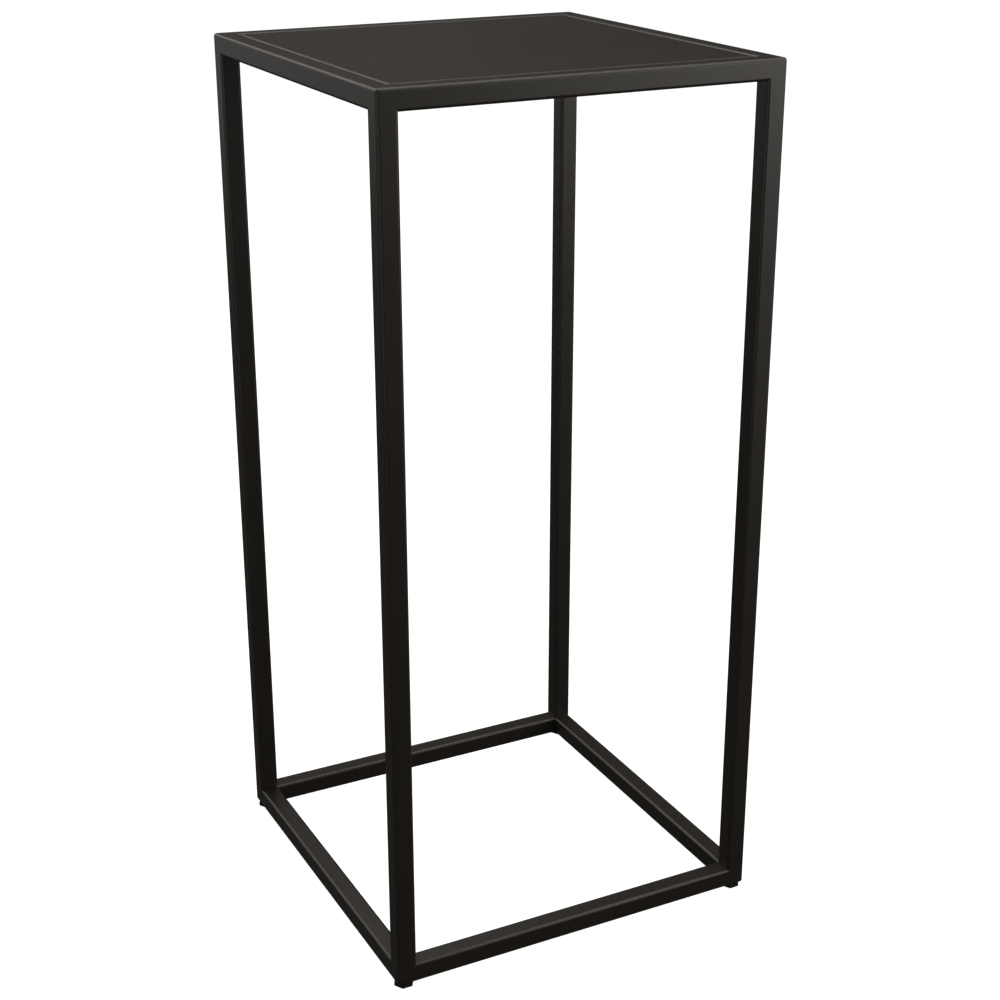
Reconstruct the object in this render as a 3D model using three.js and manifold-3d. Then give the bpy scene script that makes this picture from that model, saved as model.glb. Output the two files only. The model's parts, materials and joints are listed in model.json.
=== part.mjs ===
// Display plinth: an open frame of welded square steel tube with a loose sheet-steel top.
// Millimetres, +Z up. The origin is the middle of the footprint, on the floor.
// The front is -Y and the left side is -X. The feet are drawn screwed right in.

import * as THREE from 'three';
import { mergeVertices } from 'three/addons/utils/BufferGeometryUtils.js';
import Module from 'manifold-3d';

// Overall sizes
const FOOTPRINT = 400;
const OVERALL_HEIGHT = 864;

// Square steel tube, used for every leg and rail
const TUBE = 20;
const TUBE_WALL = 1.5;
const TUBE_RADIUS = 3;

// Welded plates that close both ends of each leg
const END_PLATE = 3;

// Screw-in levelling feet: hexagonal pad moulded on an M8 stud
const FOOT_STANDOFF = 4.5;
const FOOT_GAP = 0.3;
const FOOT_ACROSS_FLATS = 18;
const FOOT_CHAMFER = 0.4;
const STUD_RADIUS = 4;
const STUD_LENGTH = 25;
const STUD_CHAMFER = 0.8;
const STUD_EMBED = 3.2;
const STUD_CLEARANCE = 0.3;
const NUT_ACROSS_FLATS = 13;
const NUT_HEIGHT = 6.5;

// Top panel: a tray folded down on all four sides, open at its corners
const SHEET = 1.5;
const BEND_RADIUS = 2;
const FLANGE = 12;
const PANEL_CLEARANCE = 1.3;
const PANEL_DROP = 0.3;

// Corner tabs welded inside the top ring, each with a rubber pad for the panel
const TAB_THICKNESS = 3;
const TAB_REACH = 45;
const TAB_TIP = 6;
const PAD_THICKNESS = 1.5;
const PAD_SIZE = 18;
const PAD_RADIUS = 3;
const PAD_INSET = 0.8;

// Smoothness: segments in a quarter turn of a tube corner, and in a half turn of a round piece
const CORNER_SEGMENTS = 6;
const ROUND_SEGMENTS = 12;

// Worked out from the sizes above
const HALF_TUBE = TUBE / 2;
const LEG_OFFSET = FOOTPRINT / 2 - HALF_TUBE;
const LEG_LENGTH = OVERALL_HEIGHT - FOOT_STANDOFF;
const RING_OPENING = FOOTPRINT - 2 * TUBE;
const RING_EDGE = RING_OPENING / 2;
const PANEL_SIZE = RING_OPENING - 2 * PANEL_CLEARANCE;
const PANEL_TOP = OVERALL_HEIGHT - PANEL_DROP;
const PAD_TOP = PANEL_TOP - FLANGE;
const TAB_TOP = PAD_TOP - PAD_THICKNESS;

// Colours
const COAT_COLOUR = 0x33322f;
const PLASTIC_COLOUR = 0x1b1b1a;
const STEEL_COLOUR = 0x9a9c9e;
const RUBBER_COLOUR = 0x161615;

const CORNERS = [
  { name: 'front_left', x: -1, y: -1 },
  { name: 'front_right', x: 1, y: -1 },
  { name: 'back_left', x: -1, y: 1 },
  { name: 'back_right', x: 1, y: 1 },
];

const wasm = await Module();
wasm.setup();

// ---------- materials ----------

function powderCoat() {
  return new THREE.MeshStandardMaterial({ color: COAT_COLOUR, roughness: 0.5, metalness: 0.15 });
}

function blackPlastic() {
  return new THREE.MeshStandardMaterial({ color: PLASTIC_COLOUR, roughness: 0.6, metalness: 0 });
}

function platedSteel() {
  return new THREE.MeshStandardMaterial({ color: STEEL_COLOUR, roughness: 0.35, metalness: 0.9 });
}

function blackRubber() {
  return new THREE.MeshStandardMaterial({ color: RUBBER_COLOUR, roughness: 0.85, metalness: 0 });
}

// ---------- shapes and solids ----------

// A square with round corners, centred on the origin, turning anticlockwise.
function roundedSquare(path, size, radius) {
  const edge = size / 2 - radius;
  const corners = [[edge, edge], [-edge, edge], [-edge, -edge], [edge, -edge]];
  corners.forEach(([x, y], index) => {
    const start = (index * Math.PI) / 2;
    path.absarc(x, y, radius, start, start + Math.PI / 2, false);
  });
  path.closePath();
  return path;
}

function hexagon(acrossFlats) {
  const radius = acrossFlats / Math.sqrt(3);
  const points = [];
  for (let side = 0; side < 6; side += 1) {
    const angle = (side * Math.PI) / 3;
    points.push(new THREE.Vector2(radius * Math.cos(angle), radius * Math.sin(angle)));
  }
  return new THREE.Shape(points);
}

// Turns a shape drawn in X and Y so that it lies across the named axis. A shape's Y points up
// on the two level axes.
function facing(axis) {
  const x = new THREE.Vector3(1, 0, 0);
  const y = new THREE.Vector3(0, 1, 0);
  const z = new THREE.Vector3(0, 0, 1);
  const matrix = new THREE.Matrix4();
  if (axis === 'x') {
    return matrix.makeBasis(y, z, x);
  }
  if (axis === 'y') {
    return matrix.makeBasis(x.negate(), z, y);
  }
  return matrix;
}

// A shape drawn out along an axis, between two distances from the origin.
function extrusion(shape, axis, from, to) {
  const geometry = new THREE.ExtrudeGeometry(shape, {
    depth: Math.abs(to - from),
    bevelEnabled: false,
    curveSegments: CORNER_SEGMENTS / 2,
  });
  geometry.translate(0, 0, Math.min(from, to));
  geometry.applyMatrix4(facing(axis));
  return geometry;
}

// A profile of [radius, height] points turned about the Z axis.
function turned(points, segments, startAngle = 0) {
  const profile = points.map(([radius, height]) => new THREE.Vector2(radius, height));
  const geometry = new THREE.LatheGeometry(profile, segments, startAngle, 2 * Math.PI);
  const upright = new THREE.Matrix4().makeBasis(
    new THREE.Vector3(1, 0, 0),
    new THREE.Vector3(0, 0, 1),
    new THREE.Vector3(0, -1, 0),
  );
  geometry.applyMatrix4(upright);
  return geometry;
}

function solidOf(geometry) {
  const bare = geometry.clone();
  bare.deleteAttribute('normal');
  bare.deleteAttribute('uv');
  const merged = mergeVertices(bare);
  return new wasm.Manifold(new wasm.Mesh({
    numProp: 3,
    vertProperties: new Float32Array(merged.attributes.position.array),
    triVerts: new Uint32Array(merged.index.array),
  }));
}

function geometryOf(solid) {
  const mesh = solid.getMesh();
  const geometry = new THREE.BufferGeometry();
  geometry.setAttribute('position', new THREE.BufferAttribute(mesh.vertProperties, 3));
  geometry.setIndex(new THREE.BufferAttribute(mesh.triVerts, 1));
  geometry.computeVertexNormals();
  return geometry;
}

// A level slice of space, wider than any tube, between two heights.
function slice(bottom, top) {
  const geometry = new THREE.BoxGeometry(2 * TUBE, 2 * TUBE, top - bottom);
  geometry.translate(0, 0, (bottom + top) / 2);
  return solidOf(geometry);
}

function roundBore(radius, bottom, top) {
  const rim = [[0, bottom], [radius, bottom], [radius, top], [0, top]];
  return solidOf(turned(rim, 2 * ROUND_SEGMENTS));
}

// ---------- frame ----------

function tubeOutline() {
  return roundedSquare(new THREE.Shape(), TUBE, TUBE_RADIUS);
}

function tubeSection() {
  const outline = tubeOutline();
  const bore = TUBE - 2 * TUBE_WALL;
  outline.holes.push(roundedSquare(new THREE.Path(), bore, TUBE_RADIUS - TUBE_WALL));
  return outline;
}

// The filled outside of a welded corner: a cube rounded on every edge, with short arms that
// bring the faces of the two rails flush to it. The leg's own column makes the third arm.
function cornerBlock(towardX, towardY, height) {
  const arm = (axis, from, to) => {
    const geometry = extrusion(tubeOutline(), axis, from, to);
    return solidOf(geometry.translate(0, 0, height));
  };
  const cube = arm('x', -HALF_TUBE, HALF_TUBE)
    .intersect(arm('y', -HALF_TUBE, HALF_TUBE))
    .intersect(arm('z', -HALF_TUBE, HALF_TUBE));
  return cube
    .add(arm('x', 0, towardX * HALF_TUBE))
    .add(arm('y', 0, towardY * HALF_TUBE));
}

// The outside of a whole leg from its bottom end to its top end, with both welded corners.
function legOutside(towardX, towardY) {
  const lowCentre = HALF_TUBE;
  const highCentre = LEG_LENGTH - HALF_TUBE;
  return solidOf(extrusion(tubeOutline(), 'z', lowCentre, highCentre))
    .add(cornerBlock(towardX, towardY, lowCentre))
    .add(cornerBlock(towardX, towardY, highCentre));
}

function legPieces(towardX, towardY) {
  const outside = legOutside(towardX, towardY);
  const boreSize = TUBE - 2 * TUBE_WALL;
  const boreOutline = roundedSquare(new THREE.Shape(), boreSize, TUBE_RADIUS - TUBE_WALL);
  const bore = solidOf(extrusion(boreOutline, 'z', 0, LEG_LENGTH));
  const capBottom = LEG_LENGTH - END_PLATE;
  const studHole = roundBore(STUD_RADIUS + STUD_CLEARANCE, -END_PLATE, 2 * END_PLATE);
  return {
    tube: outside.subtract(bore).intersect(slice(END_PLATE, capBottom)),
    cap: outside.intersect(slice(capBottom, LEG_LENGTH + END_PLATE)),
    basePlate: outside.intersect(slice(-END_PLATE, END_PLATE)).subtract(studHole),
  };
}

function railGeometry(axis) {
  return extrusion(tubeSection(), axis, -RING_OPENING / 2, RING_OPENING / 2);
}

// ---------- feet ----------

function footNutGeometry() {
  const outline = hexagon(NUT_ACROSS_FLATS);
  const hole = new THREE.Path();
  hole.absarc(0, 0, STUD_RADIUS + STUD_CLEARANCE, 0, 2 * Math.PI, true);
  outline.holes.push(hole);
  return new THREE.ExtrudeGeometry(outline, {
    depth: NUT_HEIGHT,
    bevelEnabled: false,
    curveSegments: ROUND_SEGMENTS,
  });
}

function footStudGeometry() {
  const tip = STUD_RADIUS - STUD_CHAMFER;
  const profile = [
    [0, 0],
    [STUD_RADIUS, 0],
    [STUD_RADIUS, STUD_LENGTH - STUD_CHAMFER],
    [tip, STUD_LENGTH],
    [0, STUD_LENGTH],
  ];
  return turned(profile, 2 * ROUND_SEGMENTS);
}

function footBaseGeometry() {
  const corner = FOOT_ACROSS_FLATS / Math.sqrt(3);
  const height = FOOT_STANDOFF - FOOT_GAP;
  const profile = [
    [0, 0],
    [corner - FOOT_CHAMFER, 0],
    [corner, FOOT_CHAMFER],
    [corner, height],
    [0, height],
  ];
  const hexagonalPad = solidOf(turned(profile, 6, Math.PI / 2));
  const socketFloor = height - STUD_EMBED;
  const socket = roundBore(STUD_RADIUS + STUD_CLEARANCE, socketFloor, height + STUD_EMBED);
  return geometryOf(hexagonalPad.subtract(socket));
}

// ---------- top panel and its supports ----------

// An upside-down channel as wide as the panel, with its top face at height 0.
function channelShape() {
  const edge = PANEL_SIZE / 2;
  const bend = edge - BEND_RADIUS;
  const inner = BEND_RADIUS - SHEET;
  const shape = new THREE.Shape();
  shape.moveTo(edge, -FLANGE);
  shape.absarc(bend, -BEND_RADIUS, BEND_RADIUS, 0, Math.PI / 2, false);
  shape.absarc(-bend, -BEND_RADIUS, BEND_RADIUS, Math.PI / 2, Math.PI, false);
  shape.lineTo(-edge, -FLANGE);
  shape.lineTo(SHEET - edge, -FLANGE);
  shape.absarc(-bend, -BEND_RADIUS, inner, Math.PI, Math.PI / 2, true);
  shape.absarc(bend, -BEND_RADIUS, inner, Math.PI / 2, 0, true);
  shape.lineTo(edge - SHEET, -FLANGE);
  shape.closePath();
  return shape;
}

// Two crossed channels share the flat of the panel. Each stops short of the other's bends,
// which leaves the small square relief that a folded tray has at each corner.
function topPanelGeometry() {
  const reach = PANEL_SIZE / 2 - BEND_RADIUS;
  const across = solidOf(extrusion(channelShape(), 'x', -reach, reach));
  const along = solidOf(extrusion(channelShape(), 'y', -reach, reach));
  return geometryOf(across.add(along));
}

// A corner gusset. It fills the inner corner of the ring and its long side is cut off square.
function panelTabGeometry(towardX, towardY) {
  const outline = [[0, 0], [TAB_REACH, 0], [TAB_REACH, TAB_TIP], [TAB_TIP, TAB_REACH], [0, TAB_REACH]];
  const points = outline.map(([x, y]) => new THREE.Vector2(towardX * x, towardY * y));
  const shape = new THREE.Shape(points);
  return new THREE.ExtrudeGeometry(shape, { depth: TAB_THICKNESS, bevelEnabled: false });
}

function panelPadGeometry() {
  const outline = roundedSquare(new THREE.Shape(), PAD_SIZE, PAD_RADIUS);
  return extrusion(outline, 'z', 0, PAD_THICKNESS);
}

// ---------- assembly ----------

function part(name, geometry, material, x, y, z) {
  const mesh = new THREE.Mesh(geometry, material);
  mesh.name = name;
  mesh.position.set(x, y, z);
  return mesh;
}

function cornerOfFrame({ name, x, y }) {
  const corner = new THREE.Group();
  corner.position.set(x * LEG_OFFSET, y * LEG_OFFSET, FOOT_STANDOFF);
  const { tube, cap, basePlate } = legPieces(-x, -y);
  corner.add(part(`${name}_leg`, geometryOf(tube), powderCoat(), 0, 0, 0));
  corner.add(part(`${name}_leg_cap`, geometryOf(cap), powderCoat(), 0, 0, 0));
  corner.add(part(`${name}_leg_base_plate`, geometryOf(basePlate), powderCoat(), 0, 0, 0));
  corner.add(part(`${name}_foot_nut`, footNutGeometry(), platedSteel(), 0, 0, END_PLATE));
  return corner;
}

function foot({ name, x, y }) {
  const group = new THREE.Group();
  group.position.set(x * LEG_OFFSET, y * LEG_OFFSET, 0);
  const studBottom = FOOT_STANDOFF - FOOT_GAP - STUD_EMBED + STUD_CLEARANCE;
  group.add(part(`${name}_foot_stud`, footStudGeometry(), platedSteel(), 0, 0, studBottom));
  group.add(part(`${name}_foot_base`, footBaseGeometry(), blackPlastic(), 0, 0, 0));
  return group;
}

function ring(name, height) {
  const group = new THREE.Group();
  group.position.z = height;
  group.add(part(`${name}_rail_front`, railGeometry('x'), powderCoat(), 0, -LEG_OFFSET, 0));
  group.add(part(`${name}_rail_back`, railGeometry('x'), powderCoat(), 0, LEG_OFFSET, 0));
  group.add(part(`${name}_rail_left`, railGeometry('y'), powderCoat(), -LEG_OFFSET, 0, 0));
  group.add(part(`${name}_rail_right`, railGeometry('y'), powderCoat(), LEG_OFFSET, 0, 0));
  return group;
}

function panelSupport({ name, x, y }) {
  const group = new THREE.Group();
  group.position.set(x * RING_EDGE, y * RING_EDGE, TAB_TOP - TAB_THICKNESS);
  const padOffset = PAD_INSET + PAD_SIZE / 2;
  group.add(part(`${name}_panel_tab`, panelTabGeometry(-x, -y), powderCoat(), 0, 0, 0));
  group.add(part(
    `${name}_panel_pad`,
    panelPadGeometry(),
    blackRubber(),
    -x * padOffset,
    -y * padOffset,
    TAB_THICKNESS,
  ));
  return group;
}

const plinth = new THREE.Group();
plinth.name = 'display_plinth';
plinth.add(ring('base', FOOT_STANDOFF + HALF_TUBE));
plinth.add(ring('top', OVERALL_HEIGHT - HALF_TUBE));
plinth.add(part('top_panel', topPanelGeometry(), powderCoat(), 0, 0, PANEL_TOP));
for (const corner of CORNERS) {
  plinth.add(cornerOfFrame(corner));
  plinth.add(panelSupport(corner));
  plinth.add(foot(corner));
}

export default plinth;
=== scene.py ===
"""Looks for the display plinth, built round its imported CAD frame.

Metres, +Z up, front at -Y. Every piece is made where its CAD node lies and rides on a body of the CAD.
A stud rides with the foot base that is moulded on it.
"""

import json
import math
from collections import namedtuple

import bmesh
import bpy
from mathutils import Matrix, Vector


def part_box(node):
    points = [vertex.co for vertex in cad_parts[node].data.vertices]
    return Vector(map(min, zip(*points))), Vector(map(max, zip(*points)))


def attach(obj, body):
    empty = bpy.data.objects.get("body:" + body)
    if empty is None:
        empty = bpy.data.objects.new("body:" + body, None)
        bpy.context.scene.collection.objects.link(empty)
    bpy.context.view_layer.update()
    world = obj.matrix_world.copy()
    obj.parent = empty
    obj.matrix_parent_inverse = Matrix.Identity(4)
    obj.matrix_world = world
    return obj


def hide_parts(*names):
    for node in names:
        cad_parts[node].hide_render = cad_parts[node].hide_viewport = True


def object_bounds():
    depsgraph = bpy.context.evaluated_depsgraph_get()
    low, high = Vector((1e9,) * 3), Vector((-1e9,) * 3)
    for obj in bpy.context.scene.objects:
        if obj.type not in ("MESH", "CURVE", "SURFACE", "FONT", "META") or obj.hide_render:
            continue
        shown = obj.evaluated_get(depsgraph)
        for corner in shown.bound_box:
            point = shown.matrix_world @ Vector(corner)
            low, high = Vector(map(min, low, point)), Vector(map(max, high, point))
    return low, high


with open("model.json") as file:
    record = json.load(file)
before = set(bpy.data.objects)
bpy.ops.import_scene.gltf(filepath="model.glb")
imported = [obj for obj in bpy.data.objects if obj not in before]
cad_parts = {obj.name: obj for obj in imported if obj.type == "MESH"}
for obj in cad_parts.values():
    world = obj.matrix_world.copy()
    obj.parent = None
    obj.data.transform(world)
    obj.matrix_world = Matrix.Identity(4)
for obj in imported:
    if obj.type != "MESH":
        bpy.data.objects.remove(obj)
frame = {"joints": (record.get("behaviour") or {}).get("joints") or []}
cad_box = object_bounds()

MM = 0.001

# Square tube and end plates. Their outer sizes come from the frame.
TUBE_RADIUS = 3 * MM
TUBE_WALL = 1.5 * MM
END_PLATE = 3 * MM
STUD_HOLE = 4.3 * MM
CORNER_STEPS = 10
ROUND_STEPS = 48

# Folded top panel
SHEET = 1.5 * MM
BEND_RADIUS = 2 * MM
BEND_STEPS = 8
FLANGE_GAP = 0.01 * MM

# Corner tabs, their weld beads and rubber pads
TAB_TIP = 6 * MM
TAB_EDGE = 0.3 * MM
TAB_EDGE_STEPS = 2
BEAD_SIZE = 2.4 * MM
BEAD_PITCH = 1.3 * MM
BEAD_RIPPLE = 0.07
BEAD_LEAST_TAPER = 0.1
BEAD_STEPS = 90
BEAD_ARC_STEPS = 6
PAD_RADIUS = 3 * MM
PAD_EDGE = 0.35 * MM
PAD_EDGE_STEPS = 3

# Levelling feet, M8 thread
THREAD_PITCH = 1.25 * MM
THREAD_DEPTH = 0.68 * MM
THREAD_CHAMFER = 0.8 * MM
THREAD_STEPS = 8
THREAD_COLUMNS = 32
SOCKET_GAP = 0.12 * MM
FOOT_EDGE = 0.4 * MM
FOOT_EDGE_STEPS = 3
FOOT_DISH_RADIUS = 5.5 * MM
FOOT_DISH_DEPTH = 0.5 * MM
NUT_CHAMFER_SHARE = 0.96
NUT_CHAMFER_SLOPE = math.tan(math.radians(30))
NUT_COUNTERSINK = 0.5 * MM

# Camera, as the photo was taken: place in metres, tilt up and turn in degrees
CAMERA_PLACE = (-0.78370, -1.56122, 1.08966)
CAMERA_TILT = -21.406
CAMERA_TURN = -27.222
LENS = 65.775
SENSOR = 36
LENS_SHIFT = (-0.00555, 0.00146)
FAR_CLIP = 100

# Floor and light. The floor lies under the feet at their lowest. A softbox is its name, azimuth
# from +X towards +Y and elevation in degrees, as seen from the object, width and height in metres,
# and brightness. None stands low on the far side from the camera, which the object's top mirrors.
FLOOR_SIZE = 40
FLOOR_GAP = 0.1 * MM
FLOOR_SHADE = (0.35, 0.35, 0.35)
FLOOR_GLOW = 0.985
WHITE = (1, 1, 1, 1)
ROOM_LIGHT = (0.053, 0.050, 0.048)
LAMP_TINT = (1.04, 1.0, 0.965)
LAMP_DISTANCE = 5
LIT_CENTRE = Vector((0, 0, 0.45))
SOFTBOXES = (
    ("overhead", 90, 90, 6.0, 6.0, 0.9),
    ("behind_high", 88, 54, 3.6, 2.8, 1.75),
    ("back_left_high", 115, 32, 3.5, 2.6, 1.25),
    ("back_left_low", 120, 8, 2.4, 2.6, 0.42),
    ("left_low", 150, 12, 2.6, 2.6, 0.7),
    ("left", 190, 8, 4.0, 3.0, 0.55),
    ("front_left", 232, 0, 3.5, 3.0, 0.6),
    ("front_right", 308, 8, 1.9, 2.0, 3.4),
    ("right_low", 325, 0, 2.4, 4.0, 0.7),
    ("right", 335, 20, 2.4, 2.4, 1.5),
    ("right_high", 322, 48, 2.8, 2.6, 1.8),
    ("far_right_high", 15, 58, 2.6, 2.6, 1.2),
)

# Materials. Colours are linear red, green and blue. A size is about how wide a patch of a pattern
# is, and a span is the part of a pattern's range that is stretched over the whole effect.
NOISE_SPAN = (0.35, 0.65)

# Powder coat
COAT_DARK = (0.0137, 0.0113, 0.0074)
COAT_LIGHT = (0.0155, 0.0127, 0.0083)
# Lighter colour laid on the rounded edge crests: partly wear, partly a painted highlight
COAT_WORN_SHEEN = (0.030, 0.028, 0.024)
COAT_ROUGHNESS = (0.33, 0.35)
CLOUD_SIZE = 110 * MM
CLOUD_SHARE = 0.7
SPECK_SIZE = 1.6 * MM
SPECK_SHARE = 0.3
CREST_SPAN = (0.06, 0.26)
# Patches of wear on the edge crests, which also set where the painted highlight lies
WEAR_SIZE = 7 * MM
WEAR_SPAN = (0.45, 0.65)
LEAST_WEAR = 0.15
WEAR_POLISH = 0.06
MARK_SIZE = 30 * MM
MARK_SPAN = (0.5, 0.75)
MARK_ROUGHNESS = 0.012
PEEL_SIZE = 1.1 * MM
PEEL_DEPTH = 0.030 * MM

# Zinc plate
ZINC_BRIGHT = (0.60, 0.60, 0.58)
ZINC_DULL = (0.44, 0.45, 0.46)
ZINC_YELLOW = (0.56, 0.52, 0.42)
ZINC_ROUGHNESS = (0.24, 0.46)
DULL_SIZE = 2.5 * MM
YELLOW_SIZE = 4 * MM
YELLOW_SHARE = 0.5
PIT_SIZE = 0.5 * MM
PIT_DEPTH = 0.012 * MM

# Moulded nylon
NYLON_DARK = (0.0058, 0.0055, 0.0052)
NYLON_LIGHT = (0.0088, 0.0084, 0.0078)
NYLON_SCUFFED = (0.024, 0.023, 0.022)
NYLON_ROUGHNESS = (0.48, 0.58)
NYLON_SPECULAR = 0.3
NYLON_MOTTLE_SIZE = 9 * MM
SCUFF_SIZE = 3 * MM
SCUFF_STRETCH = 0.15
SCUFF_SPAN = (0.58, 0.72)
SCUFF_ROUGHNESS = 0.12
NYLON_GRAIN_SIZE = 0.45 * MM
NYLON_GRAIN_DEPTH = 0.02 * MM

# Rubber
RUBBER_DARK = (0.008, 0.008, 0.008)
RUBBER_LIGHT = (0.013, 0.013, 0.013)
RUBBER_DUST = (0.035, 0.033, 0.030)
RUBBER_ROUGHNESS = (0.72, 0.88)
RUBBER_MOTTLE_SIZE = 2 * MM
DUST_SIZE = 5 * MM
DUST_SPAN = (0.5, 0.75)
DUST_SHARE = 0.6
RUBBER_GRAIN_SIZE = 0.35 * MM
RUBBER_GRAIN_DEPTH = 0.03 * MM

# Mesh making
WELD = 0.001 * MM
SHARP_ANGLE = math.radians(32)
ROUND_PROFILE = 0.5
LARGE_FACES_FIRST = 100

# Which way each corner lies from the middle, along X and Y
CORNERS = {
    "front_left": (-1, -1),
    "front_right": (1, -1),
    "back_left": (-1, 1),
    "back_right": (1, 1),
}
X, Y, Z = 0, 1, 2

# A level is one of the two welded rings: the height of its outer face, and +1 where that faces up
Level = namedtuple("Level", "outer up")
LEVELS = (
    Level(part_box("base_rail_front")[0].z, -1),
    Level(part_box("top_rail_front")[1].z, 1),
)
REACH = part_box("front_right_leg")[1].x
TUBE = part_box("top_rail_front")[1].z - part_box("top_rail_front")[0].z
HALF_TUBE = TUBE / 2
TUBE_CORE = HALF_TUBE - TUBE_RADIUS

# The rounded surface that a face follows: a square core of that half size, rounded on the given axes
Curve = namedtuple("Curve", "centre axes core facing")


# ---------- meshes ----------


def arc(centre, radius, start, quarter_steps, quarters=1):
    """Points (u, v) round a centre, from a start in quarter turns."""
    count = quarter_steps * quarters
    turns = [math.pi / 2 * (start + step / quarter_steps) for step in range(count + 1)]
    return [(centre[0] + radius * math.cos(t), centre[1] + radius * math.sin(t)) for t in turns]


def rounded_square(inset, size, radius):
    """Outline of a square with round corners. Its sides lie from inset to inset + size."""
    low = inset + radius
    high = inset + size - radius
    centres = [(high, high), (low, high), (low, low), (high, low)]
    points = []
    for quarter, centre in enumerate(centres):
        points += arc(centre, radius, quarter, CORNER_STEPS)
    return points


def circle(centre, radius):
    return arc(centre, radius, 0, ROUND_STEPS // 4, quarters=4)[:-1]


def pairs(points):
    """Each point with the one after it, the last with the first."""
    return list(zip(points, points[1:] + points[:1]))


class Skin:
    """Loose faces that are welded into one closed mesh. A face may follow a curve, which then
    gives it exact smooth normals; a face without one is flat."""

    def __init__(self):
        self.bm = bmesh.new()
        self.layer = self.bm.faces.layers.int.new("curve")
        self.curves = [None]

    def curve(self, centre, axes, core, facing=1):
        self.curves.append(Curve(centre, axes, core, facing))
        return len(self.curves) - 1

    def face(self, points, curve=0):
        made = self.bm.faces.new([self.bm.verts.new(point) for point in points])
        made[self.layer] = curve

    def band(self, start, end, curve=0):
        """Quads between two closed outlines with the same number of points."""
        for (a, b), (c, d) in zip(pairs(start), pairs(end)):
            self.face([a, b, d, c], curve)

    def weld(self):
        bmesh.ops.remove_doubles(self.bm, verts=self.bm.verts, dist=WELD)

    def fill_flat(self, height):
        """Fills what is still open at a height. An outline inside another stays a hole."""
        self.weld()
        rim = [e for e in self.bm.edges if e.is_boundary and at_height(e, height)]
        bmesh.ops.triangle_fill(self.bm, edges=rim, use_beauty=True)

    def normal(self, point, face_normal, curve_index):
        curve = self.curves[curve_index]
        if curve is None:
            return face_normal
        away = Vector((0, 0, 0))
        for axis in curve.axes:
            along = point[axis] - curve.centre[axis]
            away[axis] = along - max(-curve.core, min(curve.core, along))
        return away.normalized() * curve.facing

    def mesh(self, name):
        self.weld()
        bmesh.ops.recalc_face_normals(self.bm, faces=self.bm.faces)
        kept = [face[self.layer] for face in self.bm.faces]
        mesh = bpy.data.meshes.new(name)
        self.bm.to_mesh(mesh)
        self.bm.free()
        mesh.polygons.foreach_set("use_smooth", [True] * len(mesh.polygons))
        normals = []
        for polygon, curve in zip(mesh.polygons, kept):
            for vertex in polygon.vertices:
                normals.append(self.normal(mesh.vertices[vertex].co, polygon.normal, curve))
        mesh.normals_split_custom_set(normals)
        mesh.attributes.remove(mesh.attributes["curve"])
        return mesh


def at_height(edge, height):
    return all(abs(vertex.co.z - height) < WELD for vertex in edge.verts)


def smooth_mesh(name, bm):
    """Shades a mesh smooth, apart from its sharp folds."""
    bmesh.ops.remove_doubles(bm, verts=bm.verts, dist=WELD)
    bmesh.ops.recalc_face_normals(bm, faces=bm.faces)
    for face in bm.faces:
        face.smooth = True
    for edge in bm.edges:
        edge.smooth = edge.is_manifold and edge.calc_face_angle() < SHARP_ANGLE
    mesh = bpy.data.meshes.new(name)
    bm.to_mesh(mesh)
    bm.free()
    return mesh


def piece(name, mesh, material, body, nodes):
    made = bpy.data.objects.new(name, mesh)
    bpy.context.scene.collection.objects.link(made)
    mesh.materials.append(material)
    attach(made, body)
    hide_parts(*nodes)
    return made


def keep_flats_flat(made):
    """Lets the large faces set the normals at their edges, so that they shade as flat."""
    weighted = made.modifiers.new("flat_faces", "WEIGHTED_NORMAL")
    weighted.mode = "FACE_AREA"
    weighted.weight = LARGE_FACES_FIRST
    weighted.keep_sharp = True


def block(outline, bottom, top):
    """A straight block between two heights. Its outline is a list of points (x, y)."""
    bm = bmesh.new()
    base = bm.faces.new([bm.verts.new((x, y, bottom)) for x, y in outline])
    drawn = bmesh.ops.extrude_face_region(bm, geom=[base])
    raised = [part for part in drawn["geom"] if isinstance(part, bmesh.types.BMVert)]
    bmesh.ops.translate(bm, verts=raised, vec=(0, 0, top - bottom))
    return bm


def bridge(bm, first, second):
    """Quads between two closed rings of vertices."""
    for (a, b), (c, d) in zip(pairs(first), pairs(second)):
        bm.faces.new([a, b, d, c])


def soften(bm, edges, size, steps):
    bmesh.ops.bevel(bm, geom=edges, offset=size, segments=steps, profile=ROUND_PROFILE, affect="EDGES")


# ---------- welded frame ----------


class Corner:
    """Places points by how far they lie inside the frame's outer faces at one of its corners."""

    def __init__(self, toward_x, toward_y):
        self.toward_x = toward_x
        self.toward_y = toward_y

    def at(self, level, in_x, in_y, in_z):
        return Vector((
            self.toward_x * (REACH - in_x),
            self.toward_y * (REACH - in_y),
            level.outer - level.up * in_z,
        ))

    def middle(self, level):
        return self.at(level, HALF_TUBE, HALF_TUBE, HALF_TUBE)


def tube_outline():
    return rounded_square(0, TUBE, TUBE_RADIUS)


def bore_outline():
    return rounded_square(TUBE_WALL, TUBE - 2 * TUBE_WALL, TUBE_RADIUS - TUBE_WALL)


def mitre(u, v):
    """How far from the frame's corner a tube's outline point starts. There it meets the same
    point of the next tube, so flush faces join in a mitre, and the outer point is left round."""
    return max(u, v, TUBE_RADIUS)


def add_column(skin, corner):
    base, top = LEVELS
    curve = skin.curve(corner.middle(base), (X, Y), TUBE_CORE)
    outline = tube_outline()
    low = [corner.at(base, u, v, mitre(u, v)) for u, v in outline]
    high = [corner.at(top, u, v, mitre(u, v)) for u, v in outline]
    skin.band(low, high, curve)


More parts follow.
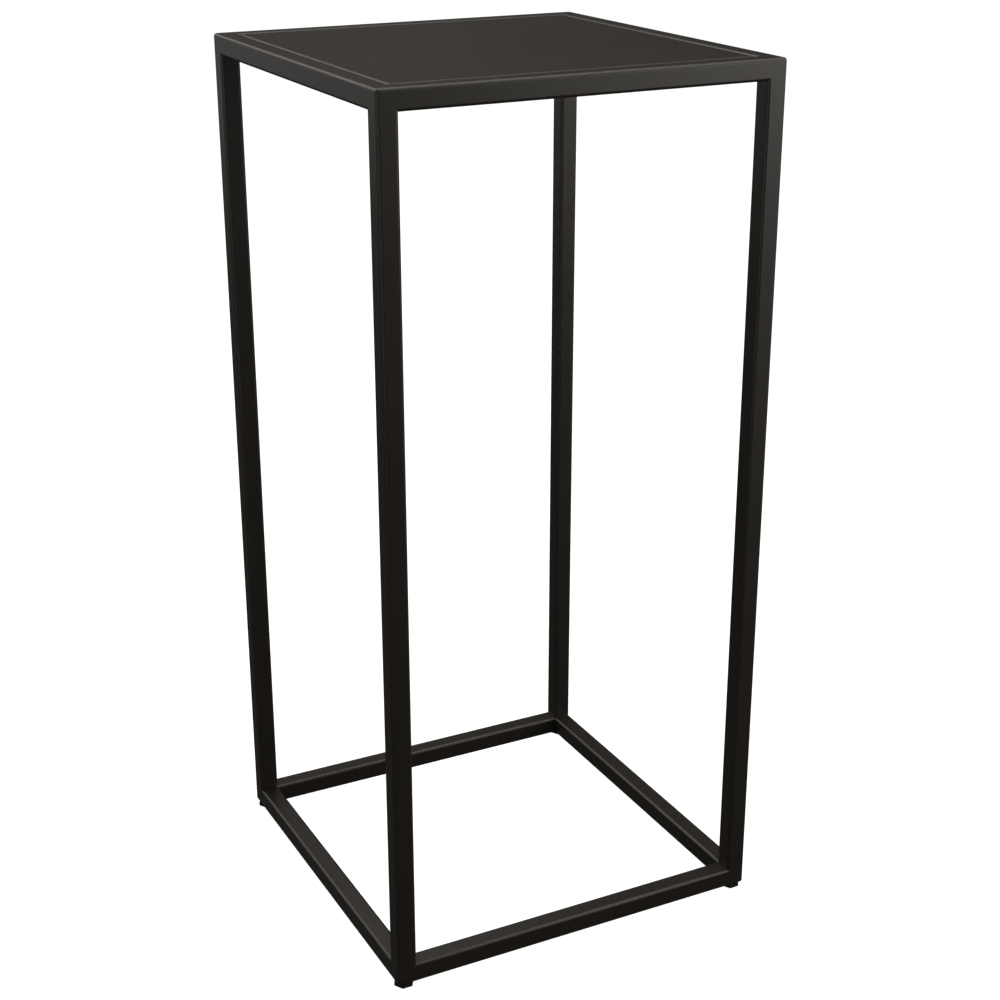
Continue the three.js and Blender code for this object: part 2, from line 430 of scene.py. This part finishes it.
def add_arms(skin, corner, level):
    """The two short stubs that a leg carries towards its rails. The bottom flat is left open."""
    outline = tube_outline()
    along_x = skin.curve(corner.middle(level), (Y, Z), TUBE_CORE)
    along_y = skin.curve(corner.middle(level), (X, Z), TUBE_CORE)
    end_x = [corner.at(level, TUBE, u, v) for u, v in outline]
    end_y = [corner.at(level, u, TUBE, v) for u, v in outline]
    start_x = [corner.at(level, mitre(u, v), u, v) for u, v in outline]
    start_y = [corner.at(level, u, mitre(u, v), v) for u, v in outline]
    for start, end, curve in ((start_x, end_x, along_x), (start_y, end_y, along_y)):
        for (a, b), (c, d) in zip(pairs(start), pairs(end)):
            bottom = level.up < 0 and max(abs(a.z - level.outer), abs(b.z - level.outer)) < WELD
            if not bottom:
                skin.face([a, b, d, c], curve)
        skin.face(end)


def add_round_point(skin, corner, level):
    """The ball-shaped point where three rounded edges meet."""
    curve = skin.curve(corner.middle(level), (X, Y, Z), TUBE_CORE)
    angles = [math.pi / 2 * step / CORNER_STEPS for step in range(CORNER_STEPS + 1)]

    def ball(up, round_z):
        level_share = math.cos(up)
        inset = (
            1 - level_share * math.cos(round_z),
            1 - level_share * math.sin(round_z),
            1 - math.sin(up),
        )
        return corner.at(level, *(TUBE_RADIUS * share for share in inset))

    for low, high in zip(angles, angles[1:]):
        for first, second in zip(angles, angles[1:]):
            square = [(low, first), (low, second), (high, second), (high, first)]
            skin.face([ball(*place) for place in square], curve)


def add_bore(skin, corner):
    """The leg's inside: a stud hole through the base plate, then the tube's bore up to the cap."""
    base, top = LEVELS
    wall = skin.curve(corner.middle(base), (X, Y), TUBE_CORE, facing=-1)
    hole = skin.curve(corner.middle(base), (X, Y), 0, facing=-1)
    rim = circle((HALF_TUBE, HALF_TUBE), STUD_HOLE)
    skin.band(
        [corner.at(base, u, v, 0) for u, v in rim],
        [corner.at(base, u, v, END_PLATE) for u, v in rim],
        hole,
    )
    skin.band(
        [corner.at(base, u, v, END_PLATE) for u, v in bore_outline()],
        [corner.at(top, u, v, END_PLATE) for u, v in bore_outline()],
        wall,
    )
    skin.face([corner.at(top, u, v, END_PLATE) for u, v in bore_outline()])
    skin.fill_flat(base.outer)
    skin.fill_flat(base.outer + END_PLATE)


def make_leg(name, coat):
    """A leg with its cap and base plate, which are welded in and ground flush."""
    corner = Corner(*CORNERS[name])
    skin = Skin()
    add_column(skin, corner)
    for level in LEVELS:
        add_arms(skin, corner, level)
        add_round_point(skin, corner, level)
    add_bore(skin, corner)
    nodes = [f"{name}_leg", f"{name}_leg_cap", f"{name}_leg_base_plate"]
    piece(f"{name}_leg_welded", skin.mesh(f"{name}_leg"), coat, "frame", nodes)


def make_rail(node, coat):
    """An open tube between two legs."""
    low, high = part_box(node)
    centre = (low + high) / 2
    size = high - low
    along = X if size.x > size.y else Y
    across = Y if along == X else X
    skin = Skin()

    def ring(outline, end):
        points = []
        for u, v in outline:
            point = Vector(centre)
            point[along] = end
            point[across] += u - HALF_TUBE
            point.z += v - HALF_TUBE
            points.append(point)
        return points

    ends = (low[along], high[along])
    outer = [ring(tube_outline(), end) for end in ends]
    inner = [ring(bore_outline(), end) for end in ends]
    skin.band(*outer, skin.curve(centre, (across, Z), TUBE_CORE))
    skin.band(*inner, skin.curve(centre, (across, Z), TUBE_CORE, facing=-1))
    for outer_end, inner_end in zip(outer, inner):
        skin.band(outer_end, inner_end)
    piece(f"{node}_tube", skin.mesh(node), coat, "frame", [node])


# ---------- top panel and its supports ----------


def make_panel(coat):
    """A sheet folded down on all four sides, with a small relief where two bends would meet. Each
    row of the fold is its distance out, its height from the top and how far it reaches to either
    side. Below its bend, a flange widens until it nearly meets the next one."""
    low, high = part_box("top_panel")
    edge = high.x
    reach = edge - BEND_RADIUS
    flange_reach = edge - SHEET - FLANGE_GAP
    fold = [(u, v, reach) for v, u in arc((-BEND_RADIUS, reach), BEND_RADIUS, 0, BEND_STEPS)]
    fold.append((edge, -BEND_RADIUS - (flange_reach - reach), flange_reach))
    fold.append((edge, low.z - high.z, flange_reach))
    bm = bmesh.new()

    def add(points):
        bm.faces.new([bm.verts.new((x, y, high.z + z)) for x, y, z in points])

    add([(-reach, -reach, 0), (reach, -reach, 0), (reach, reach, 0), (-reach, reach, 0)])
    for side in (-1, 1):
        for (u, v, w), (next_u, next_v, next_w) in zip(fold, fold[1:]):
            add([(side * u, -w, v), (side * next_u, -next_w, next_v),
                 (side * next_u, next_w, next_v), (side * u, w, v)])
            add([(-w, side * u, v), (-next_w, side * next_u, next_v),
                 (next_w, side * next_u, next_v), (w, side * u, v)])
    bmesh.ops.remove_doubles(bm, verts=bm.verts, dist=WELD)
    bmesh.ops.recalc_face_normals(bm, faces=bm.faces)
    if max(bm.faces, key=lambda face: face.calc_area()).normal.z < 0:
        bmesh.ops.reverse_faces(bm, faces=bm.faces)
    for face in bm.faces:
        face.smooth = True
    mesh = bpy.data.meshes.new("top_panel")
    bm.to_mesh(mesh)
    bm.free()
    panel = piece("top_panel_tray", mesh, coat, "panel", ["top_panel"])
    solid = panel.modifiers.new("sheet", "SOLIDIFY")
    solid.thickness = SHEET
    solid.offset = -1
    solid.use_even_offset = True
    keep_flats_flat(panel)


def add_bead(bm, place, length):
    """A rippled fillet weld in the corner between a tab's underside and a rail.
    place(along, out, down) gives a point from its start, its distance off the rail and its drop."""
    rings = []
    for step in range(BEAD_STEPS + 1):
        along = length * step / BEAD_STEPS
        taper = min(1, along / BEAD_SIZE, (length - along) / BEAD_SIZE)
        ripple = 1 + BEAD_RIPPLE * math.sin(2 * math.pi * along / BEAD_PITCH)
        size = BEAD_SIZE * ripple * math.sqrt(max(taper, BEAD_LEAST_TAPER))
        outline = [(0, 0)] + arc((0, 0), size, 0, BEAD_ARC_STEPS)
        rings.append([bm.verts.new(place(along, out, down)) for out, down in outline])
    for first, second in zip(rings, rings[1:]):
        bridge(bm, first, second)
    bm.faces.new(rings[0])
    bm.faces.new(rings[-1])


def make_tab(name, coat):
    """A corner gusset plate with a weld bead under each of its long sides."""
    node = f"{name}_panel_tab"
    toward_x, toward_y = CORNERS[name]
    low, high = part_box(node)
    reach = high.x - low.x
    root_x = toward_x * max(abs(low.x), abs(high.x))
    root_y = toward_y * max(abs(low.y), abs(high.y))

    def at(u, v, z):
        return (root_x - toward_x * u, root_y - toward_y * v, z)

    outline = [(0, 0), (reach, 0), (reach, TAB_TIP), (TAB_TIP, reach), (0, reach)]
    bm = block([at(u, v, low.z)[:2] for u, v in outline], low.z, high.z)
    soften(bm, bm.edges[:], TAB_EDGE, TAB_EDGE_STEPS)
    run = reach - 2 * TAB_TIP
    add_bead(bm, lambda along, out, down: at(TAB_TIP + along, out, low.z - down), run)
    add_bead(bm, lambda along, out, down: at(out, TAB_TIP + along, low.z - down), run)
    made = piece(f"{node}_welded", smooth_mesh(node, bm), coat, "frame", [node])
    keep_flats_flat(made)


def make_pad(name, rubber):
    """A stuck-on square rubber pad with soft edges."""
    node = f"{name}_panel_pad"
    low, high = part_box(node)
    outline = rounded_square(0, high.x - low.x, PAD_RADIUS)
    bm = block([(low.x + u, low.y + v) for u, v in outline], low.z, high.z)
    rim = [edge for edge in bm.edges if at_height(edge, high.z)]
    soften(bm, rim, PAD_EDGE, PAD_EDGE_STEPS)
    made = piece(f"{node}_rubber", smooth_mesh(node, bm), rubber, "frame", [node])
    keep_flats_flat(made)


# ---------- levelling feet ----------


def sink(bm, centre, radius, surface, floor):
    """Cuts a round blind hole into the flat face at one height, as deep as another height."""
    flats = [face for face in bm.faces if all(at_height(edge, surface) for edge in face.edges)]
    bmesh.ops.delete(bm, geom=flats, context="FACES_ONLY")
    rim = [bm.verts.new((x, y, surface)) for x, y in circle(centre, radius)]
    foot = [bm.verts.new((x, y, floor)) for x, y in circle(centre, radius)]
    bridge(bm, rim, foot)
    bm.faces.new(foot)
    open_edges = [edge for edge in bm.edges if edge.is_boundary and at_height(edge, surface)]
    bmesh.ops.triangle_fill(bm, edges=open_edges, use_beauty=True)


def make_foot_base(name, plastic):
    """The moulded hexagon that meets the floor, with the stud's socket and a shallow dish below."""
    node = f"{name}_foot_base"
    low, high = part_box(node)
    centre = (low + high) / 2
    corner_radius = (high.x - low.x) / 2
    stud_low, stud_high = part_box(f"{name}_foot_stud")
    hexagon = [(math.cos(math.pi / 3 * side), math.sin(math.pi / 3 * side)) for side in range(6)]
    corners = [(centre.x + corner_radius * u, centre.y + corner_radius * v) for u, v in hexagon]
    bm = block(corners, low.z, high.z)
    soften(bm, bm.edges[:], FOOT_EDGE, FOOT_EDGE_STEPS)
    socket_radius = (stud_high.x - centre.x) + SOCKET_GAP
    sink(bm, (centre.x, centre.y), socket_radius, high.z, stud_low.z - SOCKET_GAP)
    sink(bm, (centre.x, centre.y), FOOT_DISH_RADIUS, low.z, low.z + FOOT_DISH_DEPTH)
    mesh = smooth_mesh(node, bm)
    made = piece(f"{node}_moulded", mesh, plastic, f"{name}_foot", [node])
    keep_flats_flat(made)


def make_foot_stud(name, steel):
    """An M8 thread with a chamfered tip. It is moulded into the foot's base, so it turns with it.
    Columns of points stand round the stud, each raised by its share of one turn's pitch, so that
    the rows follow the thread."""
    node = f"{name}_foot_stud"
    low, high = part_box(node)
    centre = (low + high) / 2
    crest = (high.x - low.x) / 2

    def radius_at(height, turn):
        """Crest, flank, root and flank each take a quarter of the pitch."""
        phase = (height / THREAD_PITCH - turn) % 1
        depth = min(1, max(0, 1.5 - abs(4 * phase - 2)))
        return min(crest - THREAD_DEPTH * depth, crest - THREAD_CHAMFER + (high.z - height))

    def point(column, row):
        turn = column / THREAD_COLUMNS
        height = min(high.z, max(low.z, low.z + THREAD_PITCH * (row / THREAD_STEPS + turn)))
        radius = radius_at(height, turn)
        angle = 2 * math.pi * turn
        return (centre.x + radius * math.cos(angle), centre.y + radius * math.sin(angle), height)

    rows = math.ceil((high.z - low.z) / THREAD_PITCH * THREAD_STEPS)
    bm = bmesh.new()
    for column in range(THREAD_COLUMNS):
        for row in range(-THREAD_STEPS, rows):
            corners = [(column, row), (column + 1, row), (column + 1, row + 1), (column, row + 1)]
            bm.faces.new([bm.verts.new(point(*corner)) for corner in corners])
    bmesh.ops.remove_doubles(bm, verts=bm.verts, dist=WELD)
    bmesh.ops.holes_fill(bm, edges=[edge for edge in bm.edges if edge.is_boundary])
    mesh = smooth_mesh(node, bm)
    piece(f"{node}_threaded", mesh, steel, f"{name}_foot", [node])


def make_foot_nut(name, steel):
    """A hexagonal weld nut. A cone takes off its corners, and its bore is countersunk."""
    node = f"{name}_foot_nut"
    low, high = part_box(node)
    centre = (low + high) / 2
    half_flats = (high.y - low.y) / 2
    bore = (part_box(f"{name}_foot_stud")[1].x - centre.x) + SOCKET_GAP
    bevel_start = NUT_CHAMFER_SHARE * half_flats
    bm = bmesh.new()

    def ring(radius_of, height_of):
        """Points round the nut. Both functions are given how far its flat side lies there."""
        made = []
        for u, v in circle((0, 0), 1):
            side = math.atan2(v, u) % (math.pi / 3)
            flat = half_flats / math.cos(side - math.pi / 6)
            radius = radius_of(flat)
            made.append(bm.verts.new((centre.x + radius * u, centre.y + radius * v, height_of(flat))))
        return made

    rings = []
    for face, inward in ((low.z, 1), (high.z, -1)):
        slope = inward * NUT_CHAMFER_SLOPE
        levels = [
            ring(lambda flat: bore, lambda flat: face + inward * NUT_COUNTERSINK),
            ring(lambda flat: bore + NUT_COUNTERSINK, lambda flat: face),
            ring(lambda flat: bevel_start, lambda flat: face),
            ring(lambda flat: flat, lambda flat: face + (flat - bevel_start) * slope),
        ]
        rings += levels if inward > 0 else levels[::-1]
    for first, second in pairs(rings):
        bridge(bm, first, second)
    made = piece(f"{node}_hex", smooth_mesh(node, bm), steel, "frame", [node])
    keep_flats_flat(made)


# ---------- materials ----------


class Finish:
    """A node material in the making. Its patterns are sized in metres and stay on the object."""

    def __init__(self, name):
        self.material = bpy.data.materials.new(name)
        self.material.use_nodes = True
        self.tree = self.material.node_tree
        self.shader = self.tree.nodes["Principled BSDF"]
        self.place = self.tree.nodes.new("ShaderNodeTexCoord").outputs

    def feed(self, socket, value):
        """Links a socket to an output, or sets it to a number or a colour."""
        if isinstance(value, bpy.types.NodeSocket):
            self.tree.links.new(value, socket)
        else:
            socket.default_value = value

    def node(self, kind, output, **inputs):
        """Adds a node and returns one of its outputs. An underscore in an input's name is a space."""
        made = self.tree.nodes.new(kind)
        for name, value in inputs.items():
            self.feed(made.inputs[name.replace("_", " ")], value)
        return made.outputs[output]

    def maths(self, operation, first, second):
        made = self.tree.nodes.new("ShaderNodeMath")
        made.operation = operation
        self.feed(made.inputs[0], first)
        self.feed(made.inputs[1], second)
        return made.outputs["Value"]

    def noise(self, size, detail=2.0, stretch=1):
        """A cloudy pattern with patches about that wide, and drawn out along Z by the stretch."""
        place = self.node("ShaderNodeMapping", "Vector", Vector=self.place["Object"],
                          Scale=(1, 1, 1 / stretch))
        return self.node("ShaderNodeTexNoise", "Fac", Vector=place, Scale=1 / size, Detail=detail)

    def spread(self, pattern, low, high, span=NOISE_SPAN):
        """Maps the two ends of a pattern's span on to two numbers, with nothing beyond them."""
        return self.node("ShaderNodeMapRange", "Result", Value=pattern, From_Min=span[0],
                         From_Max=span[1], To_Min=low, To_Max=high)

    def blend(self, share, first, second):
        """Mixes two colours, each of them an output or three numbers."""
        first, second = ((*c, 1) if isinstance(c, tuple) else c for c in (first, second))
        return self.node("ShaderNodeMixRGB", "Color", Fac=share, Color1=first, Color2=second)

    def edges(self):
        """0 on faces that look along an axis, rising to about 0.3 at the crest of a rounded edge."""
        parts = self.tree.nodes.new("ShaderNodeSeparateXYZ")
        self.feed(parts.inputs["Vector"], self.place["Normal"])
        x, y, z = (self.maths("ABSOLUTE", part, 0) for part in parts.outputs)
        return self.maths("SUBTRACT", 1, self.maths("MAXIMUM", self.maths("MAXIMUM", x, y), z))

    def relief(self, height, depth):
        normal = self.node("ShaderNodeBump", "Normal", Height=height, Distance=depth, Strength=1)
        self.feed(self.shader.inputs["Normal"], normal)

    def finish(self, colour, roughness, metallic=0.0):
        self.feed(self.shader.inputs["Base Color"], colour)
        self.feed(self.shader.inputs["Roughness"], roughness)
        self.shader.inputs["Metallic"].default_value = metallic
        return self.material


def powder_coat():
    """Satin black powder coat, slightly warm: faint cloudiness and pigment specks, a few hand
    marks, a shallow orange peel, and patchy wear that has polished and thinned the edges. The
    lighter colour on the edge crests is partly that wear and partly a painted highlight."""
    coat = Finish("powder_coat")
    cloud = coat.spread(coat.noise(CLOUD_SIZE, detail=3), 0, CLOUD_SHARE)
    speck = coat.spread(coat.noise(SPECK_SIZE), 0, SPECK_SHARE)
    crest = coat.spread(coat.edges(), 0, 1, CREST_SPAN)
    patch = coat.spread(coat.noise(WEAR_SIZE, detail=4), LEAST_WEAR, 1, WEAR_SPAN)
    worn_sheen_edges = coat.maths("MULTIPLY", crest, patch)
    marks = coat.spread(coat.noise(MARK_SIZE, detail=5), 0, MARK_ROUGHNESS, MARK_SPAN)
    shade = coat.blend(coat.maths("ADD", cloud, speck), COAT_DARK, COAT_LIGHT)
    # Edge crests are lightened: partly wear, partly a painted highlight along every rounded edge
    colour = coat.blend(worn_sheen_edges, shade, COAT_WORN_SHEEN)
    satin = coat.spread(cloud, *COAT_ROUGHNESS, span=(0, 1))
    polish = coat.maths("MULTIPLY", worn_sheen_edges, WEAR_POLISH)
    rough = coat.maths("SUBTRACT", coat.maths("ADD", satin, marks), polish)
    coat.relief(coat.noise(PEEL_SIZE), PEEL_DEPTH)
    return coat.finish(colour, rough)


def zinc_plate():
    """Bright zinc on the studs and nuts: dull patches, cool and yellowish spots, fine pits."""
    zinc = Finish("zinc_plate")
    dull = zinc.noise(DULL_SIZE, detail=4)
    colour = zinc.blend(zinc.spread(dull, 0, 1), ZINC_BRIGHT, ZINC_DULL)
    yellow = zinc.spread(zinc.noise(YELLOW_SIZE), 0, YELLOW_SHARE)
    colour = zinc.blend(yellow, colour, ZINC_YELLOW)
    zinc.relief(zinc.noise(PIT_SIZE, detail=4), PIT_DEPTH)
    return zinc.finish(colour, zinc.spread(dull, *ZINC_ROUGHNESS), metallic=1.0)


def moulded_plastic():
    """Black nylon feet: a spark-eroded grain with scuffs that run round the base."""
    nylon = Finish("black_plastic")
    scuff = nylon.spread(nylon.noise(SCUFF_SIZE, detail=6, stretch=SCUFF_STRETCH), 0, 1, SCUFF_SPAN)
    mottle = nylon.spread(nylon.noise(NYLON_MOTTLE_SIZE, detail=3), 0, 1)
    colour = nylon.blend(mottle, NYLON_DARK, NYLON_LIGHT)
    colour = nylon.blend(scuff, colour, NYLON_SCUFFED)
    grain = nylon.noise(NYLON_GRAIN_SIZE, detail=3)
    scuffed = nylon.maths("MULTIPLY", scuff, SCUFF_ROUGHNESS)
    rough = nylon.maths("ADD", nylon.spread(grain, *NYLON_ROUGHNESS), scuffed)
    nylon.relief(grain, NYLON_GRAIN_DEPTH)
    nylon.shader.inputs["Specular IOR Level"].default_value = NYLON_SPECULAR
    return nylon.finish(colour, rough)


def pad_rubber():
    """Dull black rubber with a fine grain and a little dust."""
    rubber = Finish("black_rubber")
    dust = rubber.spread(rubber.noise(DUST_SIZE, detail=5), 0, DUST_SHARE, DUST_SPAN)
    mottle = rubber.spread(rubber.noise(RUBBER_MOTTLE_SIZE), 0, 1)
    colour = rubber.blend(mottle, RUBBER_DARK, RUBBER_LIGHT)
    colour = rubber.blend(dust, colour, RUBBER_DUST)
    grain = rubber.noise(RUBBER_GRAIN_SIZE, detail=3)
    rubber.relief(grain, RUBBER_GRAIN_DEPTH)
    return rubber.finish(colour, rubber.spread(grain, *RUBBER_ROUGHNESS))


# ---------- camera, floor and light ----------


def make_camera():
    data = bpy.data.cameras.new("camera")
    data.lens = LENS
    data.sensor_width = SENSOR
    data.shift_x, data.shift_y = LENS_SHIFT
    data.clip_end = FAR_CLIP
    camera = bpy.data.objects.new("camera", data)
    camera.location = CAMERA_PLACE
    camera.rotation_euler = (math.radians(90 + CAMERA_TILT), 0, math.radians(CAMERA_TURN))
    bpy.context.scene.collection.objects.link(camera)
    bpy.context.scene.camera = camera


def make_floor():
    """A white floor that only the camera sees, so that it lights nothing from below."""
    reach = FLOOR_SIZE / 2
    lowest_slide = min(joint["range_m"][0] for joint in frame["joints"] if joint["type"] == "slide")
    level = cad_box[0].z + lowest_slide - FLOOR_GAP
    corners = [(x * reach, y * reach, level) for x, y in ((-1, -1), (1, -1), (1, 1), (-1, 1))]
    mesh = bpy.data.meshes.new("floor")
    mesh.from_pydata(corners, [], [(0, 1, 2, 3)])
    floor = bpy.data.objects.new("floor", mesh)
    bpy.context.scene.collection.objects.link(floor)
    white = Finish("white_floor")
    white.shader.inputs["Specular IOR Level"].default_value = 0
    white.shader.inputs["Emission Color"].default_value = WHITE
    white.shader.inputs["Emission Strength"].default_value = FLOOR_GLOW
    mesh.materials.append(white.finish((*FLOOR_SHADE, 1), 1))
    for ray in ("visible_diffuse", "visible_glossy", "visible_transmission", "visible_shadow"):
        setattr(floor, ray, False)


def make_world():
    """A dim even room. The camera sees it as white."""
    world = bpy.data.worlds.new("studio")
    bpy.context.scene.world = world
    world.use_nodes = True
    tree = world.node_tree
    room = tree.nodes["Background"]
    room.inputs["Color"].default_value = (*ROOM_LIGHT, 1)
    white = tree.nodes.new("ShaderNodeBackground")
    white.inputs["Color"].default_value = WHITE
    path = tree.nodes.new("ShaderNodeLightPath")
    mix = tree.nodes.new("ShaderNodeMixShader")
    tree.links.new(path.outputs["Is Camera Ray"], mix.inputs["Fac"])
    tree.links.new(room.outputs["Background"], mix.inputs[1])
    tree.links.new(white.outputs["Background"], mix.inputs[2])
    tree.links.new(mix.outputs["Shader"], tree.nodes["World Output"].inputs["Surface"])


def make_softbox(name, azimuth, elevation, width, height, brightness):
    """A rectangular lamp that faces the object and isn't seen itself."""
    turn, tilt = math.radians(azimuth), math.radians(elevation)
    level_share = math.cos(tilt)
    outward = Vector((math.cos(turn) * level_share, math.sin(turn) * level_share, math.sin(tilt)))
    data = bpy.data.lights.new(name, "AREA")
    data.shape = "RECTANGLE"
    data.size, data.size_y = width, height
    data.energy = brightness * math.pi * width * height
    data.color = LAMP_TINT
    lamp = bpy.data.objects.new(name, data)
    lamp.location = LIT_CENTRE + outward * LAMP_DISTANCE
    lamp.rotation_euler = outward.to_track_quat("Z", "Y").to_euler()
    lamp.visible_camera = False
    bpy.context.scene.collection.objects.link(lamp)


# ---------- the object ----------

coat = powder_coat()
steel = zinc_plate()
plastic = moulded_plastic()
rubber = pad_rubber()

make_camera()
make_floor()
make_world()
for softbox in SOFTBOXES:
    make_softbox(*softbox)
bpy.context.scene.view_settings.view_transform = "Standard"
for corner_name in CORNERS:
    make_leg(corner_name, coat)
    make_tab(corner_name, coat)
    make_pad(corner_name, rubber)
    make_foot_base(corner_name, plastic)
    make_foot_stud(corner_name, steel)
    make_foot_nut(corner_name, steel)
for ring_name in ("base", "top"):
    for side_name in ("front", "back", "left", "right"):
        make_rail(f"{ring_name}_rail_{side_name}", coat)
make_panel(coat)
